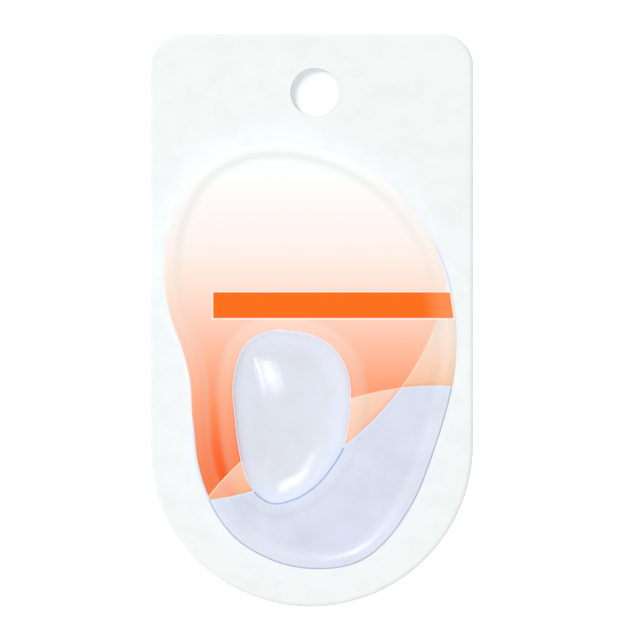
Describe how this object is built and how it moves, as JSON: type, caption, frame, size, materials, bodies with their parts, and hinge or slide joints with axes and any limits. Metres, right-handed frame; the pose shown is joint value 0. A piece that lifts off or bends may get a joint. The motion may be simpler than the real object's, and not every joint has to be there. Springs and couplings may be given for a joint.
{
  "type": "gel arch support pad on hanging card",
  "caption": "Kidney-shaped gel arch support pad with a raised dome and a part cover of coloured film, lying on a white hanging card.",
  "frame": {"origin": "centre of the card's outline on its underside, which is the bottom centre of the bounding box", "axes": "+Y along the card's length, towards its hang hole; +Z out of the card's face, towards the dome; +X to the right as seen from the front"},
  "size_m": [0.076, 0.134, 0.0116],
  "materials": {
    "coated_card": "white coated board, faintly mottled, satin",
    "pad_gel": "milky translucent gel with a faint violet cast, soft gloss",
    "dome_gel": "milky translucent gel, glossy",
    "coloured_film": "translucent film that fades from white to orange, satin"
  },
  "bodies": {
    "root": {"backing_card": "coated_card", "gel_pad": "pad_gel", "arch_dome": "dome_gel", "coloured_film": "coloured_film"}
  },
  "joints": []
}
